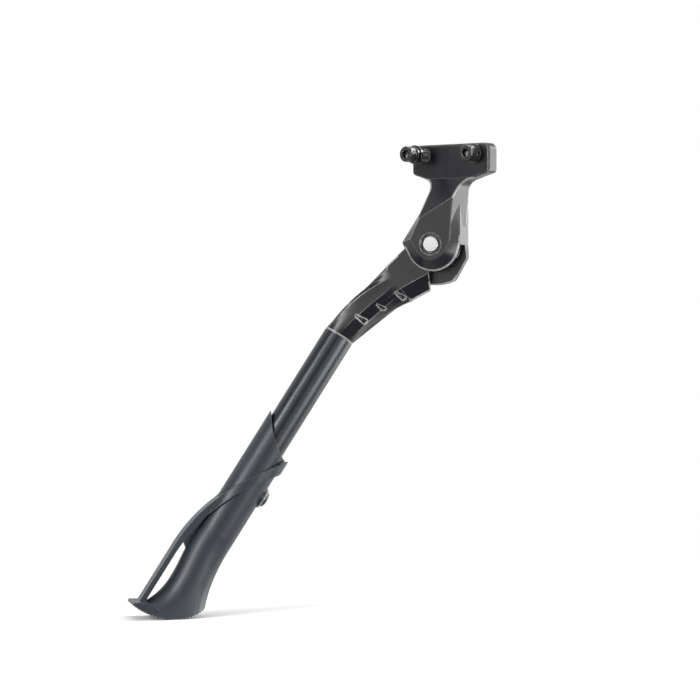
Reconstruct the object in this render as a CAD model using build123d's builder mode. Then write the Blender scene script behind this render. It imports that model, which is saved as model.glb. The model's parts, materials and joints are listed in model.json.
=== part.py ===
from build123d import *

import os
from math import acos, atan2, cos, degrees, hypot, radians, sin, tan

# Frame: origin midway between the two screw axes, on the plate face that meets the bicycle.
# +X runs backward along the plate, +Y inward to the bicycle, +Z up.

# Mounting plate
SCREW_SPACING = 40.0
SCREW_HOLE_R = 3.3
PLATE_LENGTH = 62.0
PLATE_THICKNESS = 8.5
PLATE_TOP = 6.5
PLATE_END_BOTTOM = -12.0
PLATE_CORNER_R = 5.0
PLATE_HEEL_R = 2.5
PLATE_EDGE_R = 1.4
PLATE_BACK_EDGE_R = 0.6
TOLERANCE = 0.001

# Neck between the plate and the boss
NECK_FRONT_X = -12.2
NECK_REAR_X = 9.7
NECK_REAR_LEAN = 2.5
NECK_ROOT_Z = -17.7
NECK_BOTTOM_Z = -46.0
NECK_BLEND_R = 9.0
NECK_RELIEF = 0.8
RAMP_TOP_Z = -15.0
RAMP_ANGLE = 34.3

# Pivot: the axis is yawed from the plate's normal, its zero is on the boss face
PIVOT_X = -4.6
PIVOT_DROP = 57.0
PIVOT_YAW = 25.0
BOSS_STANDOFF = 14.4

# Fork: outer cheek, slot and inner cheek, one behind the other along the pivot
OUTER_CHEEK = 7.0
SLOT_WIDTH = 8.0
INNER_CHEEK = 6.5
FORK_TOP = 30.0
INNER_CHEEK_R = 25.9
INNER_CHEEK_HALF = 20.0
INNER_CHEEK_ROUND = 9.0
INNER_CHEEK_CORNER = (20.2, -8.5)
INNER_CHEEK_CUT_ANGLE = -62.0
INNER_CHEEK_CUT_R = 4.0
CHEEK_DRAFT = 2.2
FORK_HEEL_DROP = 1.0

# Boss on the outer cheek: round below, with a corner at each side, flared toward the slot
FACE_R = 10.0
FACE_CORNER_REAR = (12.7, 2.9)
FACE_CORNER_FRONT = (-13.4, 3.4)
FACE_TOP_REAR = 13.8
FACE_TOP_FRONT = -1.5
BASE_R = 17.2
BASE_CORNER_REAR = (17.7, 0.6)
BASE_CORNER_FRONT = (-20.0, 1.3)
BASE_TOP_FRONT = -2.0
BOSS_EDGE_R = 0.9

# Pin and its seat
PIN_R = 5.0
PIN_RECESS = 0.5
PIN_HEAD_R = 8.0
PIN_HEAD = 4.0
PIN_EDGE = 1.0
PIN_END_EDGE = 0.4
PIN_SEAT_R = 5.7
PIN_SEAT_DEPTH = 2.2
PIN_SEAT_CHAMFER = 1.2
SEAT_CLEARANCE = 0.02
RUNNING_CLEARANCE = 0.05

# Leg eye and the pocket that it turns in
EYE_R = 16.8
POCKET_GAP = 0.6
THRUST_WASHER = 0.6
THRUST_WASHER_R = 15.5
THRUST_WASHER_GAP = 0.3
SIDE_GAP = 0.15
STOP_GAP = 0.3
DEPLOYED_STOP_DROP = 2.2
FOLD_STOP_DROP = 0.3
FOLD_TRAVEL = 97.0

# Detent in the neck, square to the pin
DETENT_ANGLE = 75.0
DETENT_R = 3.0
DETENT_BORE_GAP = 0.1
DETENT_LIFT = 0.3
DETENT_DEPTH = 1.4
DETENT_PLUNGER = 7.0
DETENT_NOSE = 2.4
DETENT_TIP_R = 1.2
DETENT_BORE_TOP = 33.0
SPRING_WIRE = 0.8
SPRING_TURNS = 5

# Mounting screws: M6 socket-head cap screws with a spring washer and a flat washer
SCREW_R = 3.0
SCREW_LENGTH = 20.0
SCREW_HEAD_R = 5.0
SCREW_HEAD = 6.0
SCREW_SOCKET = 5.0
SCREW_SOCKET_DEPTH = 3.2
SCREW_TIP_CHAMFER = 0.6
SCREW_HEAD_EDGE = 0.5
FLAT_WASHER_R = 6.0
FLAT_WASHER = 1.6
SPRING_WASHER_R = 5.3
SPRING_WASHER = 1.6
WASHER_BORE_R = 3.2
SPRING_WASHER_SPLIT = 0.9
FRONT_SCREW_DRAWN = 9.8
FRONT_SCREW_SLACK = 0.9
REAR_SCREW_DRAWN = 0.6
REAR_SCREW_SLACK = 0.2

# Leg: arm, tube and their seam
LEG_SWEEP = 29.5
LEG_SPLAY = 14.5
SEAM_Q = -64.9
SEAM_V = -58.6
TUBE_R = 10.0
TUBE_WALL = 1.5
TUBE_LENGTH = 135.0
TUBE_EDGE = 0.5
SPIGOT_LENGTH = 25.0
ARM_STEP_Q = -3.0
ARM_STEP_V = -29.5
ARM_SHOULDER_Q = -18.6
ARM_TOP_CHAMFER = 2.0
ARM_BACK_CHAMFER = 3.0
STEP_BEVEL = 0.4
BAND_WIDTH = 10.0
BAND_SLOPE = 0.6
ROOT_Q = -23.5
ROOT_V = -25.0
ROOT_ANGLE = 215.5
ROOT_UP = 13.2
ROOT_DOWN = 13.7
ROOT_THICKNESS = 10.5
ROOT_BAND_LOW = -11.0
WAIST_Q = -44.0
WAIST_V = -41.5
WAIST_ANGLE = 219.0
WAIST_UP = 11.4
WAIST_DOWN = 9.5
WAIST_THICKNESS = 17.0
WAIST_FACE_LOW = 0.8
WAIST_BAND_LOW = -6.1
# Angles that part the arm's round end into the eight sides of its other sections
SEAM_SPLITS = [-45, -15, 30, 70, 120, 165, 220, 282]
NOTCH_Q = -25.4
NOTCH_V = -30.1
NOTCH_ANGLE = 210.0
NOTCH_LEAN = -38.5
NOTCH_PITCH = 14.8
NOTCH_COUNT = 3
NOTCH_R = 1.7
NOTCH_TIP_R = 0.4
NOTCH_LENGTH = 8.4
TOP_NOTCH_Q = -34.3
TOP_NOTCH_V = -18.3
TOP_NOTCH_ANGLE = 224.0
TOP_NOTCH_LENGTH = 3.2

# Foot: distances along the tube from its seam, and from the tube's axis toward the toe
FOOT_CLEARANCE = 0.3
SLEEVE_R = 12.0
SLEEVE_TOE_TOP = 64.3
SLEEVE_HEEL_TOP = 87.0
SLEEVE_SAG = 3.6
BODY_HEEL = 13.0
BODY_HEEL_STEP = 1.0
BODY_BOTTOM = 150.0
BORE_BOTTOM = 160.0
STRAP_HALF = 13.2
STRAP_HEEL_TOP = 86.0
STRAP_HEEL_BOTTOM = 95.5
STRAP_TOE_TOP = 130.0
STRAP_SAG = 3.2
STRAP_PROUD = 1.3
STRAP_HEEL_PROUD = 2.3
LOOP_TOP_X = 12.2
LOOP_ROOT_X = 9.7
LOOP_ROOT_DROP = 5.6
LOOP_X = 19.6
LOOP_BEND = 170.0
LOOP_INNER_BEND = 180.0
LOOP_SAG = 2.0
LOOP_BOTTOM = 212.0
LOOP_THICKNESS = 3.3
LOOP_HALF = 6.0
GUSSET_HALF = 2.5
GUSSET_BOTTOM = 165.5
GUSSET_RISE = 3.0
# Each boot section: its place along the tube, its reach to the toe and to the heel, its half width
BOOT_SECTIONS = [
    (168.0, 11.7, 13.6, 12.0),
    (184.0, 10.3, 16.4, 12.5),
    (216.0, 21.0, 33.0, 14.0),
]
TOE_ROOT = (4.0, 209.5)
TOE_INSTEP = (12.0, 209.0)
TOE_TOP = 209.5
TOE_LIP = 1.8
TOE_SHARE = 0.4
SOLE_TOE = (23.2, 215.5)
SOLE_LOW = (3.9, 213.5)
SOLE_HEEL = (-20.6, 191.5)
TREAD_DEPTH = 0.7
TREAD_COUNT = 24

# Length lock on the heel side of the foot
LOCK_S = 114.6
LOCK_SCREW_R = 3.0
LOCK_FLANGE_R = 6.8
LOCK_FLANGE = 1.1
LOCK_DOME_R = 5.3
LOCK_DOME = 2.4
LOCK_DOME_EDGE = 0.2
LOCK_SOCKET = 4.0
LOCK_SOCKET_DEPTH = 1.8
LOCK_INSERT_R = 4.2
LOCK_INSERT_BACK = 10.6
LOCK_PAD = 0.5
LOCK_TIP_GAP = 0.1

# Derived places along the pivot, as depths behind the boss face
SLOT_FRONT = OUTER_CHEEK
SLOT_BACK = OUTER_CHEEK + SLOT_WIDTH
FORK_BACK = SLOT_BACK + INNER_CHEEK
EYE_FRONT = SLOT_FRONT + THRUST_WASHER + SIDE_GAP
EYE_THICKNESS = SLOT_WIDTH - 2 * (THRUST_WASHER + SIDE_GAP)
EYE_MID = EYE_FRONT + EYE_THICKNESS / 2
POCKET_R = EYE_R + POCKET_GAP
PLUNGER_TIP = EYE_R + DETENT_LIFT
STRAP_HEEL = BODY_HEEL + STRAP_HEEL_PROUD
FOOT_REACH = BODY_BOTTOM

PIVOT = Plane(
    origin=(PIVOT_X, -PLATE_THICKNESS - BOSS_STANDOFF, -PIVOT_DROP),
    x_dir=(cos(radians(PIVOT_YAW)), sin(radians(PIVOT_YAW)), 0),
    z_dir=(sin(radians(PIVOT_YAW)), -cos(radians(PIVOT_YAW)), 0),
)


def pivot_point(q, v, depth):
    """World point at q across the swing plane, v up and depth behind the boss face."""
    return PIVOT.from_local_coords(Vector(q, v, -depth))


def pivot_direction(q, v, outward):
    """World direction with these parts across, up and outward along the pivot."""
    return pivot_point(q, v, -outward) - pivot_point(0, 0, 0)


def polar(radius, angle):
    """Point of a circle about the pin, angle in degrees from the rear."""
    return (radius * cos(radians(angle)), radius * sin(radians(angle)))


def boss_outline(radius, rear, front, rear_top, front_top):
    """Closed outline of the boss: a round bottom, tangent lines to two corners, and two sides."""
    rear_angle = degrees(atan2(rear[1], rear[0]) - acos(radius / hypot(*rear)))
    front_angle = degrees(atan2(front[1], front[0]) + acos(radius / hypot(*front)))
    with BuildLine() as outline:
        CenterArc((0, 0), radius, front_angle, 360 + rear_angle - front_angle)
        Polyline(
            polar(radius, rear_angle),
            rear,
            (rear_top, FORK_TOP),
            (front_top, FORK_TOP),
            front,
            polar(radius, front_angle),
        )
    make_face(outline.edges())


def cheek_outline(rear_side):
    """Closed outline of the fork behind the boss, round about the pin and cut off at the rear corner."""
    front_angle = 180 + degrees(acos(INNER_CHEEK_HALF / INNER_CHEEK_R))
    with BuildLine() as outline:
        CenterArc((0, 0), INNER_CHEEK_R, front_angle, 360 + INNER_CHEEK_CUT_ANGLE - front_angle)
        Polyline(
            polar(INNER_CHEEK_R, INNER_CHEEK_CUT_ANGLE),
            INNER_CHEEK_CORNER,
            (rear_side, BASE_CORNER_REAR[1]),
            (rear_side, FORK_TOP),
            (BASE_TOP_FRONT, FORK_TOP),
            (-INNER_CHEEK_HALF, BASE_CORNER_FRONT[1]),
            polar(INNER_CHEEK_R, front_angle),
        )
    make_face(outline.edges())


def round_cheek_outline(sketch):
    """Round the front corner of the cheek and both ends of its rear cut."""
    low = sketch.vertices().sort_by(Axis.Y)[:3]
    fillet(low.sort_by(Axis.X)[0], INNER_CHEEK_ROUND)
    for end in low.sort_by(Axis.X)[1:]:
        fillet(sketch.vertices().sort_by_distance(end)[0], INNER_CHEEK_CUT_R)


def plate_outline():
    """T-shaped outline of the plate and the neck that hangs from it."""
    end = PLATE_LENGTH / 2
    with BuildLine() as outline:
        Polyline(
            (-end, PLATE_TOP),
            (end, PLATE_TOP),
            (end, PLATE_END_BOTTOM),
            (NECK_REAR_X, NECK_ROOT_Z),
            (NECK_REAR_X - NECK_REAR_LEAN, NECK_BOTTOM_Z),
            (NECK_FRONT_X, NECK_BOTTOM_Z),
            (NECK_FRONT_X, NECK_ROOT_Z),
            (-end, PLATE_END_BOTTOM),
            close=True,
        )
    make_face(outline.edges())


def round_plate_outline(sketch):
    """Round the plate's ends and blend its lower edge into the neck."""
    for height, radius in (
        (PLATE_TOP, PLATE_CORNER_R),
        (PLATE_END_BOTTOM, PLATE_HEEL_R),
        (NECK_ROOT_Z, NECK_BLEND_R),
    ):
        level = [corner for corner in sketch.vertices() if abs(corner.Y - height) < TOLERANCE]
        fillet(level, radius)


def section_plane(q, v, angle):
    """Plane across the arm: x to its upper edge, y inward from the front face, z along the arm."""
    along = (cos(radians(angle)), sin(radians(angle)))
    return Plane(
        origin=pivot_point(q, v, EYE_FRONT),
        x_dir=pivot_direction(along[1], -along[0], 0),
        z_dir=pivot_direction(along[0], along[1], 0),
    )


def arm_section(up, down, thickness, face_low, band_low):
    """Eight-sided section of the arm, with the wide sloping band below its front face."""
    with BuildLine() as outline:
        Polyline(
            (up - ARM_TOP_CHAMFER, 0),
            (up, ARM_TOP_CHAMFER),
            (up, thickness - ARM_BACK_CHAMFER),
            (up - ARM_BACK_CHAMFER, thickness),
            (ARM_BACK_CHAMFER - down, thickness),
            (-down, thickness - ARM_BACK_CHAMFER),
            (band_low, (face_low - band_low) * BAND_SLOPE),
            (face_low, 0),
            close=True,
        )
    make_face(outline.edges())


def seam_section():
    """Round end of the arm, cut into the same eight sides as the sections before it."""
    with BuildLine() as outline:
        for start, stop in zip(SEAM_SPLITS, SEAM_SPLITS[1:] + [SEAM_SPLITS[0] + 360]):
            CenterArc((0, 0), TUBE_R, start, stop - start)
    make_face(outline.edges())


def foot_section(toe, heel, half):
    """Round-ended outline across the foot, from its toe side to its heel side."""
    with Locations((toe - half, 0)):
        Circle(half)
    with Locations((half - BODY_HEEL_STEP - heel, 0)):
        Circle(half - BODY_HEEL_STEP)
    make_hull()


def radial_plane(angle, radius):
    """Plane square to the pin's radius at this angle, in the middle of the slot, facing outward."""
    return Plane(
        origin=pivot_point(*polar(radius, angle), EYE_MID),
        x_dir=pivot_direction(0, 0, 1),
        z_dir=pivot_direction(*polar(1, angle), 0),
    )


with BuildPart() as bracket:
    with BuildSketch(Plane.XZ) as plate_sketch:
        plate_outline()
        round_plate_outline(plate_sketch)
    extrude(amount=PLATE_THICKNESS)
    fillet(bracket.faces().sort_by(Axis.Y)[0].edges(), PLATE_EDGE_R)
    fillet(bracket.faces().sort_by(Axis.Y)[-1].edges(), PLATE_BACK_EDGE_R)
    with BuildSketch(Plane.XZ) as neck_sketch:
        plate_outline()
        round_plate_outline(neck_sketch)
        with Locations((0, (RAMP_TOP_Z + NECK_BOTTOM_Z) / 2)):
            Rectangle(PLATE_LENGTH, RAMP_TOP_Z - NECK_BOTTOM_Z, mode=Mode.INTERSECT)
    extrude(amount=PLATE_THICKNESS + 2 * BOSS_STANDOFF)
    with BuildSketch(Plane.YZ):
        with BuildLine():
            Polyline(
                (-NECK_RELIEF, NECK_BOTTOM_Z - PLATE_THICKNESS),
                (-NECK_RELIEF, NECK_ROOT_Z),
                (PLATE_THICKNESS, NECK_ROOT_Z + PLATE_THICKNESS + NECK_RELIEF),
                (PLATE_THICKNESS, NECK_BOTTOM_Z - PLATE_THICKNESS),
                close=True,
            )
        make_face()
    extrude(amount=PLATE_LENGTH, both=True, mode=Mode.SUBTRACT)
    with BuildSketch(PIVOT):
        boss_outline(FACE_R, FACE_CORNER_REAR, FACE_CORNER_FRONT, FACE_TOP_REAR, FACE_TOP_FRONT)
    with BuildSketch(PIVOT.offset(-SLOT_FRONT)):
        boss_outline(BASE_R, BASE_CORNER_REAR, BASE_CORNER_FRONT, BASE_CORNER_REAR[0], BASE_TOP_FRONT)
    loft(ruled=True)
    with BuildSketch(PIVOT.offset(-SLOT_FRONT)) as cheek_front:
        cheek_outline(BASE_CORNER_REAR[0])
        round_cheek_outline(cheek_front)
    with BuildSketch(PIVOT.offset(-FORK_BACK)) as cheek_back:
        cheek_outline(BASE_CORNER_REAR[0] + CHEEK_DRAFT)
        round_cheek_outline(cheek_back)
    loft(ruled=True)
    with BuildSketch(Plane.YZ):
        with BuildLine():
            Polyline(
                (-PLATE_THICKNESS, RAMP_TOP_Z),
                (-PLATE_THICKNESS - PIVOT_DROP * tan(radians(RAMP_ANGLE)), RAMP_TOP_Z - PIVOT_DROP),
                (-3 * PIVOT_DROP, RAMP_TOP_Z - PIVOT_DROP),
                (-3 * PIVOT_DROP, RAMP_TOP_Z),
                close=True,
            )
        make_face()
    extrude(amount=PLATE_LENGTH, both=True, mode=Mode.SUBTRACT)
    with BuildSketch(PIVOT):
        with Locations((0, (PIVOT_DROP + RAMP_TOP_Z) / 2)):
            Rectangle(2 * PLATE_LENGTH, PIVOT_DROP + RAMP_TOP_Z)
    extrude(amount=PIVOT_DROP, mode=Mode.SUBTRACT)
    boss_face = bracket.faces().sort_by_distance(PIVOT.origin)[0]
    fillet([edge for edge in boss_face.outer_wire().edges() if edge.length > 2 * BOSS_EDGE_R], BOSS_EDGE_R)
    with BuildSketch(Plane.YZ):
        with BuildLine():
            Polyline(
                (-NECK_RELIEF, NECK_ROOT_Z - FORK_HEEL_DROP),
                (-NECK_RELIEF, FORK_TOP - PIVOT_DROP - FORK_HEEL_DROP),
                (FORK_BACK, FORK_TOP - PIVOT_DROP - FORK_HEEL_DROP - FORK_BACK - NECK_RELIEF),
                (FORK_BACK, NECK_ROOT_Z - FORK_HEEL_DROP),
                close=True,
            )
        make_face()
    extrude(amount=PLATE_LENGTH, both=True, mode=Mode.SUBTRACT)
    with BuildSketch(PIVOT.offset(-SLOT_FRONT)):
        Circle(POCKET_R)
        with BuildLine():
            Polyline(
                (-PLATE_LENGTH, BASE_CORNER_FRONT[1]),
                (BASE_CORNER_FRONT[0], BASE_CORNER_FRONT[1]),
                (ARM_SHOULDER_Q, -DEPLOYED_STOP_DROP),
                (0, -DEPLOYED_STOP_DROP),
                (0, -FOLD_STOP_DROP),
                (PLATE_LENGTH, -FOLD_STOP_DROP),
                (PLATE_LENGTH, -PLATE_LENGTH),
                (-PLATE_LENGTH, -PLATE_LENGTH),
                close=True,
            )
        make_face()
    extrude(amount=-SLOT_WIDTH, mode=Mode.SUBTRACT)
    with BuildSketch(PIVOT):
        Circle(PIN_R + SEAT_CLEARANCE)
    extrude(amount=-FORK_BACK, mode=Mode.SUBTRACT)
    with BuildSketch(PIVOT):
        Circle(PIN_SEAT_R)
    extrude(amount=-PIN_SEAT_DEPTH, mode=Mode.SUBTRACT)
    with BuildSketch(PIVOT):
        Circle(PIN_SEAT_R + PIN_SEAT_CHAMFER)
    with BuildSketch(PIVOT.offset(-PIN_SEAT_CHAMFER)):
        Circle(PIN_SEAT_R)
    loft(mode=Mode.SUBTRACT)
    with BuildSketch(Plane.XZ):
        with GridLocations(SCREW_SPACING, 1, 2, 1):
            Circle(SCREW_HOLE_R)
    extrude(amount=PLATE_THICKNESS, mode=Mode.SUBTRACT)
    with BuildSketch(radial_plane(DETENT_ANGLE, EYE_R)):
        Circle(DETENT_R + DETENT_BORE_GAP)
    extrude(amount=DETENT_BORE_TOP - EYE_R, mode=Mode.SUBTRACT)

with BuildPart() as pin:
    with BuildSketch(PIVOT.offset(-PIN_RECESS)):
        Circle(PIN_R)
    extrude(amount=PIN_RECESS - FORK_BACK)
    with BuildSketch(PIVOT.offset(-FORK_BACK)):
        Circle(PIN_HEAD_R)
    extrude(amount=-PIN_HEAD)
    chamfer(pin.faces().sort_by(Axis(PIVOT.origin, PIVOT.z_dir))[0].edges(), PIN_EDGE)
    chamfer(pin.faces().sort_by(Axis(PIVOT.origin, PIVOT.z_dir))[-1].edges(), PIN_END_EDGE)


def thrust_washer(depth):
    """Thin disc beside the leg's eye, its outer face at this depth."""
    with BuildPart() as washer:
        with BuildSketch(PIVOT.offset(-depth)):
            Circle(THRUST_WASHER_R)
            Circle(PIN_R + THRUST_WASHER_GAP, mode=Mode.SUBTRACT)
        extrude(amount=-THRUST_WASHER)
    return washer.part


outer_washer = thrust_washer(SLOT_FRONT)
inner_washer = thrust_washer(SLOT_BACK - THRUST_WASHER)

with BuildPart() as plunger:
    with BuildSketch(radial_plane(DETENT_ANGLE, PLUNGER_TIP + DETENT_NOSE)):
        Circle(DETENT_R)
    extrude(amount=DETENT_PLUNGER - DETENT_NOSE)
    with BuildSketch(radial_plane(DETENT_ANGLE, PLUNGER_TIP + DETENT_NOSE)):
        Circle(DETENT_R)
    with BuildSketch(radial_plane(DETENT_ANGLE, PLUNGER_TIP)):
        Circle(DETENT_TIP_R)
    loft()

SPRING_FOOT = PLUNGER_TIP + DETENT_PLUNGER + DETENT_BORE_GAP + SPRING_WIRE / 2
SPRING_HEIGHT = DETENT_BORE_TOP - DETENT_BORE_GAP - SPRING_WIRE / 2 - SPRING_FOOT
SPRING_R = DETENT_R - SPRING_WIRE / 2 - DETENT_BORE_GAP
with BuildPart() as spring:
    with BuildLine():
        coil = Helix(
            pitch=SPRING_HEIGHT / SPRING_TURNS,
            height=SPRING_HEIGHT,
            radius=SPRING_R,
            center=radial_plane(DETENT_ANGLE, SPRING_FOOT).origin,
            direction=radial_plane(DETENT_ANGLE, SPRING_FOOT).z_dir,
        )
    with BuildSketch(Plane(origin=coil @ 0, z_dir=coil % 0)):
        Circle(SPRING_WIRE / 2)
    sweep(is_frenet=True)

LEG_DOWN = pivot_direction(
    -sin(radians(LEG_SWEEP)) * cos(radians(LEG_SPLAY)),
    -cos(radians(LEG_SWEEP)) * cos(radians(LEG_SPLAY)),
    sin(radians(LEG_SPLAY)),
)
SEAM = Plane(
    origin=pivot_point(SEAM_Q, SEAM_V, EYE_FRONT + TUBE_R),
    x_dir=pivot_direction(-cos(radians(LEG_SWEEP)), sin(radians(LEG_SWEEP)), 0),
    z_dir=LEG_DOWN,
)
ROOT = section_plane(ROOT_Q, ROOT_V, ROOT_ANGLE)
WAIST = section_plane(WAIST_Q, WAIST_V, WAIST_ANGLE)
ON_BASE = (Align.CENTER, Align.CENTER, Align.MIN)
OUTWARD = Axis(PIVOT.origin, PIVOT.z_dir)
ROOT_UPWARD = (sin(radians(ROOT_ANGLE)), -cos(radians(ROOT_ANGLE)))

with BuildPart() as arm:
    with BuildSketch(PIVOT.offset(-EYE_FRONT)):
        with BuildLine():
            Polyline(
                (ARM_STEP_Q, -DEPLOYED_STOP_DROP - STOP_GAP),
                (ARM_SHOULDER_Q, -DEPLOYED_STOP_DROP - STOP_GAP),
                (ROOT_Q + ROOT_UP * ROOT_UPWARD[0], ROOT_V + ROOT_UP * ROOT_UPWARD[1]),
                (ROOT_Q - ROOT_DOWN * ROOT_UPWARD[0], ROOT_V - ROOT_DOWN * ROOT_UPWARD[1]),
                (ARM_STEP_Q, ARM_STEP_V),
                close=True,
            )
        make_face()
    extrude(amount=-EYE_THICKNESS)
    front = arm.faces().sort_by(OUTWARD)[-1]
    chamfer(front.edges().sort_by(Axis.Z)[0], BAND_WIDTH, BAND_WIDTH * BAND_SLOPE, reference=front)
    back = arm.faces().sort_by(OUTWARD)[0]
    chamfer(back.edges().sort_by(Axis(PIVOT.origin, PIVOT.x_dir))[-1], STEP_BEVEL)
    with BuildSketch(PIVOT.offset(-EYE_FRONT)):
        Circle(EYE_R)
    extrude(amount=-EYE_THICKNESS)
    with BuildSketch(ROOT):
        arm_section(ROOT_UP, ROOT_DOWN, ROOT_THICKNESS, BAND_WIDTH - ROOT_DOWN, ROOT_BAND_LOW)
    with BuildSketch(WAIST):
        arm_section(WAIST_UP, WAIST_DOWN, WAIST_THICKNESS, WAIST_FACE_LOW, WAIST_BAND_LOW)
    with BuildSketch(SEAM):
        seam_section()
    loft()
    with BuildSketch(SEAM):
        Circle(TUBE_R - TUBE_WALL - SEAT_CLEARANCE)
    extrude(amount=SPIGOT_LENGTH)
    with BuildSketch(PIVOT.offset(-EYE_FRONT)):
        Circle(PIN_R + RUNNING_CLEARANCE)
    extrude(amount=-EYE_THICKNESS, mode=Mode.SUBTRACT)
    for angle in (DETENT_ANGLE, DETENT_ANGLE - FOLD_TRAVEL):
        with BuildSketch(radial_plane(angle, EYE_R - DETENT_DEPTH)):
            Circle(DETENT_TIP_R + STOP_GAP)
        with BuildSketch(radial_plane(angle, EYE_R - DETENT_DEPTH + DETENT_NOSE)):
            Circle(DETENT_R + STOP_GAP)
        loft(mode=Mode.SUBTRACT)
    for index in range(NOTCH_COUNT):
        along = polar(index * NOTCH_PITCH, NOTCH_ANGLE)
        start = pivot_point(NOTCH_Q + along[0], NOTCH_V + along[1], EYE_FRONT)
        across = polar(1, NOTCH_LEAN)
        with Locations(Plane(origin=start, z_dir=pivot_direction(*across, -BAND_SLOPE))):
            Cone(NOTCH_TIP_R, NOTCH_R, NOTCH_LENGTH, align=ON_BASE, mode=Mode.SUBTRACT)
        along = polar(index * NOTCH_PITCH, TOP_NOTCH_ANGLE)
        start = pivot_point(TOP_NOTCH_Q + along[0], TOP_NOTCH_V + along[1], EYE_FRONT)
        across = polar(1, TOP_NOTCH_ANGLE - 90)
        with Locations(Plane(origin=start, z_dir=pivot_direction(*across, -1))):
            Cone(NOTCH_TIP_R, NOTCH_R, TOP_NOTCH_LENGTH, align=ON_BASE, mode=Mode.SUBTRACT)

with BuildPart() as tube:
    with BuildSketch(SEAM):
        Circle(TUBE_R)
        Circle(TUBE_R - TUBE_WALL, mode=Mode.SUBTRACT)
    extrude(amount=TUBE_LENGTH)
    seam_edges = tube.faces().sort_by(Axis(SEAM.origin, SEAM.z_dir))[0].edges()
    chamfer(seam_edges.sort_by(SortBy.LENGTH)[-1], TUBE_EDGE)

LEAN = hypot(LEG_DOWN.X, LEG_DOWN.Y)
FOOT = Plane(
    origin=SEAM.origin,
    x_dir=(-LEG_DOWN.Z * LEG_DOWN.X / LEAN, -LEG_DOWN.Z * LEG_DOWN.Y / LEAN, LEAN),
    z_dir=LEG_DOWN,
)
FOOT_SIDE = Plane(origin=SEAM.origin, x_dir=FOOT.x_dir, z_dir=-FOOT.y_dir)
LOCK = Plane(
    origin=FOOT.from_local_coords(Vector(-BODY_HEEL, 0, LOCK_S)),
    x_dir=FOOT.y_dir,
    z_dir=-FOOT.x_dir,
)

with BuildPart() as sleeve:
    with BuildSketch(FOOT.offset(SLEEVE_TOE_TOP)):
        Circle(SLEEVE_R)
    extrude(amount=BODY_BOTTOM - SLEEVE_TOE_TOP)
    with BuildSketch(FOOT_SIDE):
        with BuildLine():
            SagittaArc((SLEEVE_R, SLEEVE_TOE_TOP), (-SLEEVE_R, SLEEVE_HEEL_TOP), -SLEEVE_SAG)
            Polyline(
                (-SLEEVE_R, SLEEVE_HEEL_TOP),
                (-SLEEVE_R, 0),
                (SLEEVE_R, 0),
                (SLEEVE_R, SLEEVE_TOE_TOP),
            )
        make_face()
    extrude(amount=SLEEVE_R, both=True, mode=Mode.SUBTRACT)

with BuildPart() as body:
    with BuildSketch(FOOT.offset(STRAP_HEEL_TOP)):
        foot_section(SLEEVE_R, BODY_HEEL, SLEEVE_R)
    extrude(amount=BODY_BOTTOM - STRAP_HEEL_TOP)
    with BuildSketch(FOOT_SIDE):
        with BuildLine():
            Polyline(
                (-BODY_HEEL, STRAP_HEEL_TOP),
                (SLEEVE_R, STRAP_TOE_TOP),
                (SLEEVE_R, STRAP_HEEL_TOP),
                close=True,
            )
        make_face()
    extrude(amount=SLEEVE_R, both=True, mode=Mode.SUBTRACT)

with BuildPart() as strap:
    with BuildSketch(FOOT_SIDE):
        with BuildLine():
            SagittaArc((-STRAP_HEEL, STRAP_HEEL_TOP), (LOOP_TOP_X, STRAP_TOE_TOP), -STRAP_SAG)
            SagittaArc((LOOP_TOP_X, STRAP_TOE_TOP), (LOOP_X, LOOP_BEND), -LOOP_SAG)
            Polyline(
                (LOOP_X, LOOP_BEND),
                (LOOP_X, LOOP_BOTTOM),
                (LOOP_X - LOOP_THICKNESS, LOOP_BOTTOM),
                (LOOP_X - LOOP_THICKNESS, LOOP_INNER_BEND),
            )
            loop_root = (LOOP_ROOT_X, STRAP_TOE_TOP + LOOP_ROOT_DROP)
            SagittaArc((LOOP_X - LOOP_THICKNESS, LOOP_INNER_BEND), loop_root, LOOP_SAG)
            SagittaArc(loop_root, (-STRAP_HEEL, STRAP_HEEL_BOTTOM), STRAP_SAG)
            Line((-STRAP_HEEL, STRAP_HEEL_BOTTOM), (-STRAP_HEEL, STRAP_HEEL_TOP))
        make_face()
    extrude(amount=STRAP_HALF, both=True)
    with BuildSketch(FOOT.offset(STRAP_HEEL_TOP)):
        foot_section(SLEEVE_R + STRAP_PROUD, STRAP_HEEL, SLEEVE_R + STRAP_PROUD)
        with Locations((LOOP_X / 2, 0)):
            Rectangle(LOOP_X, 2 * LOOP_HALF)
    extrude(amount=LOOP_BOTTOM - STRAP_HEEL_TOP, mode=Mode.INTERSECT)

with BuildPart() as gusset:
    with BuildSketch(FOOT_SIDE):
        with BuildLine():
            Polyline(
                (LOOP_TOP_X, STRAP_TOE_TOP),
                (LOOP_X - LOOP_THICKNESS / 2, GUSSET_BOTTOM - GUSSET_RISE),
                (TUBE_R, GUSSET_BOTTOM + GUSSET_RISE),
                (TUBE_R, STRAP_TOE_TOP),
                close=True,
            )
        make_face()
    extrude(amount=GUSSET_HALF, both=True)

with BuildPart() as boot:
    with BuildSketch(FOOT.offset(BODY_BOTTOM)):
        foot_section(SLEEVE_R, BODY_HEEL, SLEEVE_R)
    for s, toe, heel, half in BOOT_SECTIONS:
        with BuildSketch(FOOT.offset(s)):
            foot_section(toe, heel, half)
    loft()
    with BuildSketch(FOOT_SIDE):
        with BuildLine():
            sole = ThreePointArc(SOLE_TOE, SOLE_LOW, SOLE_HEEL)
            Polyline(
                SOLE_HEEL,
                (-FOOT_REACH, SOLE_HEEL[1]),
                (-FOOT_REACH, BODY_BOTTOM),
                (FOOT_REACH, BODY_BOTTOM),
                (FOOT_REACH, SOLE_TOE[1]),
                SOLE_TOE,
            )
        make_face()
    extrude(amount=FOOT_REACH, both=True, mode=Mode.INTERSECT)

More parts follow.
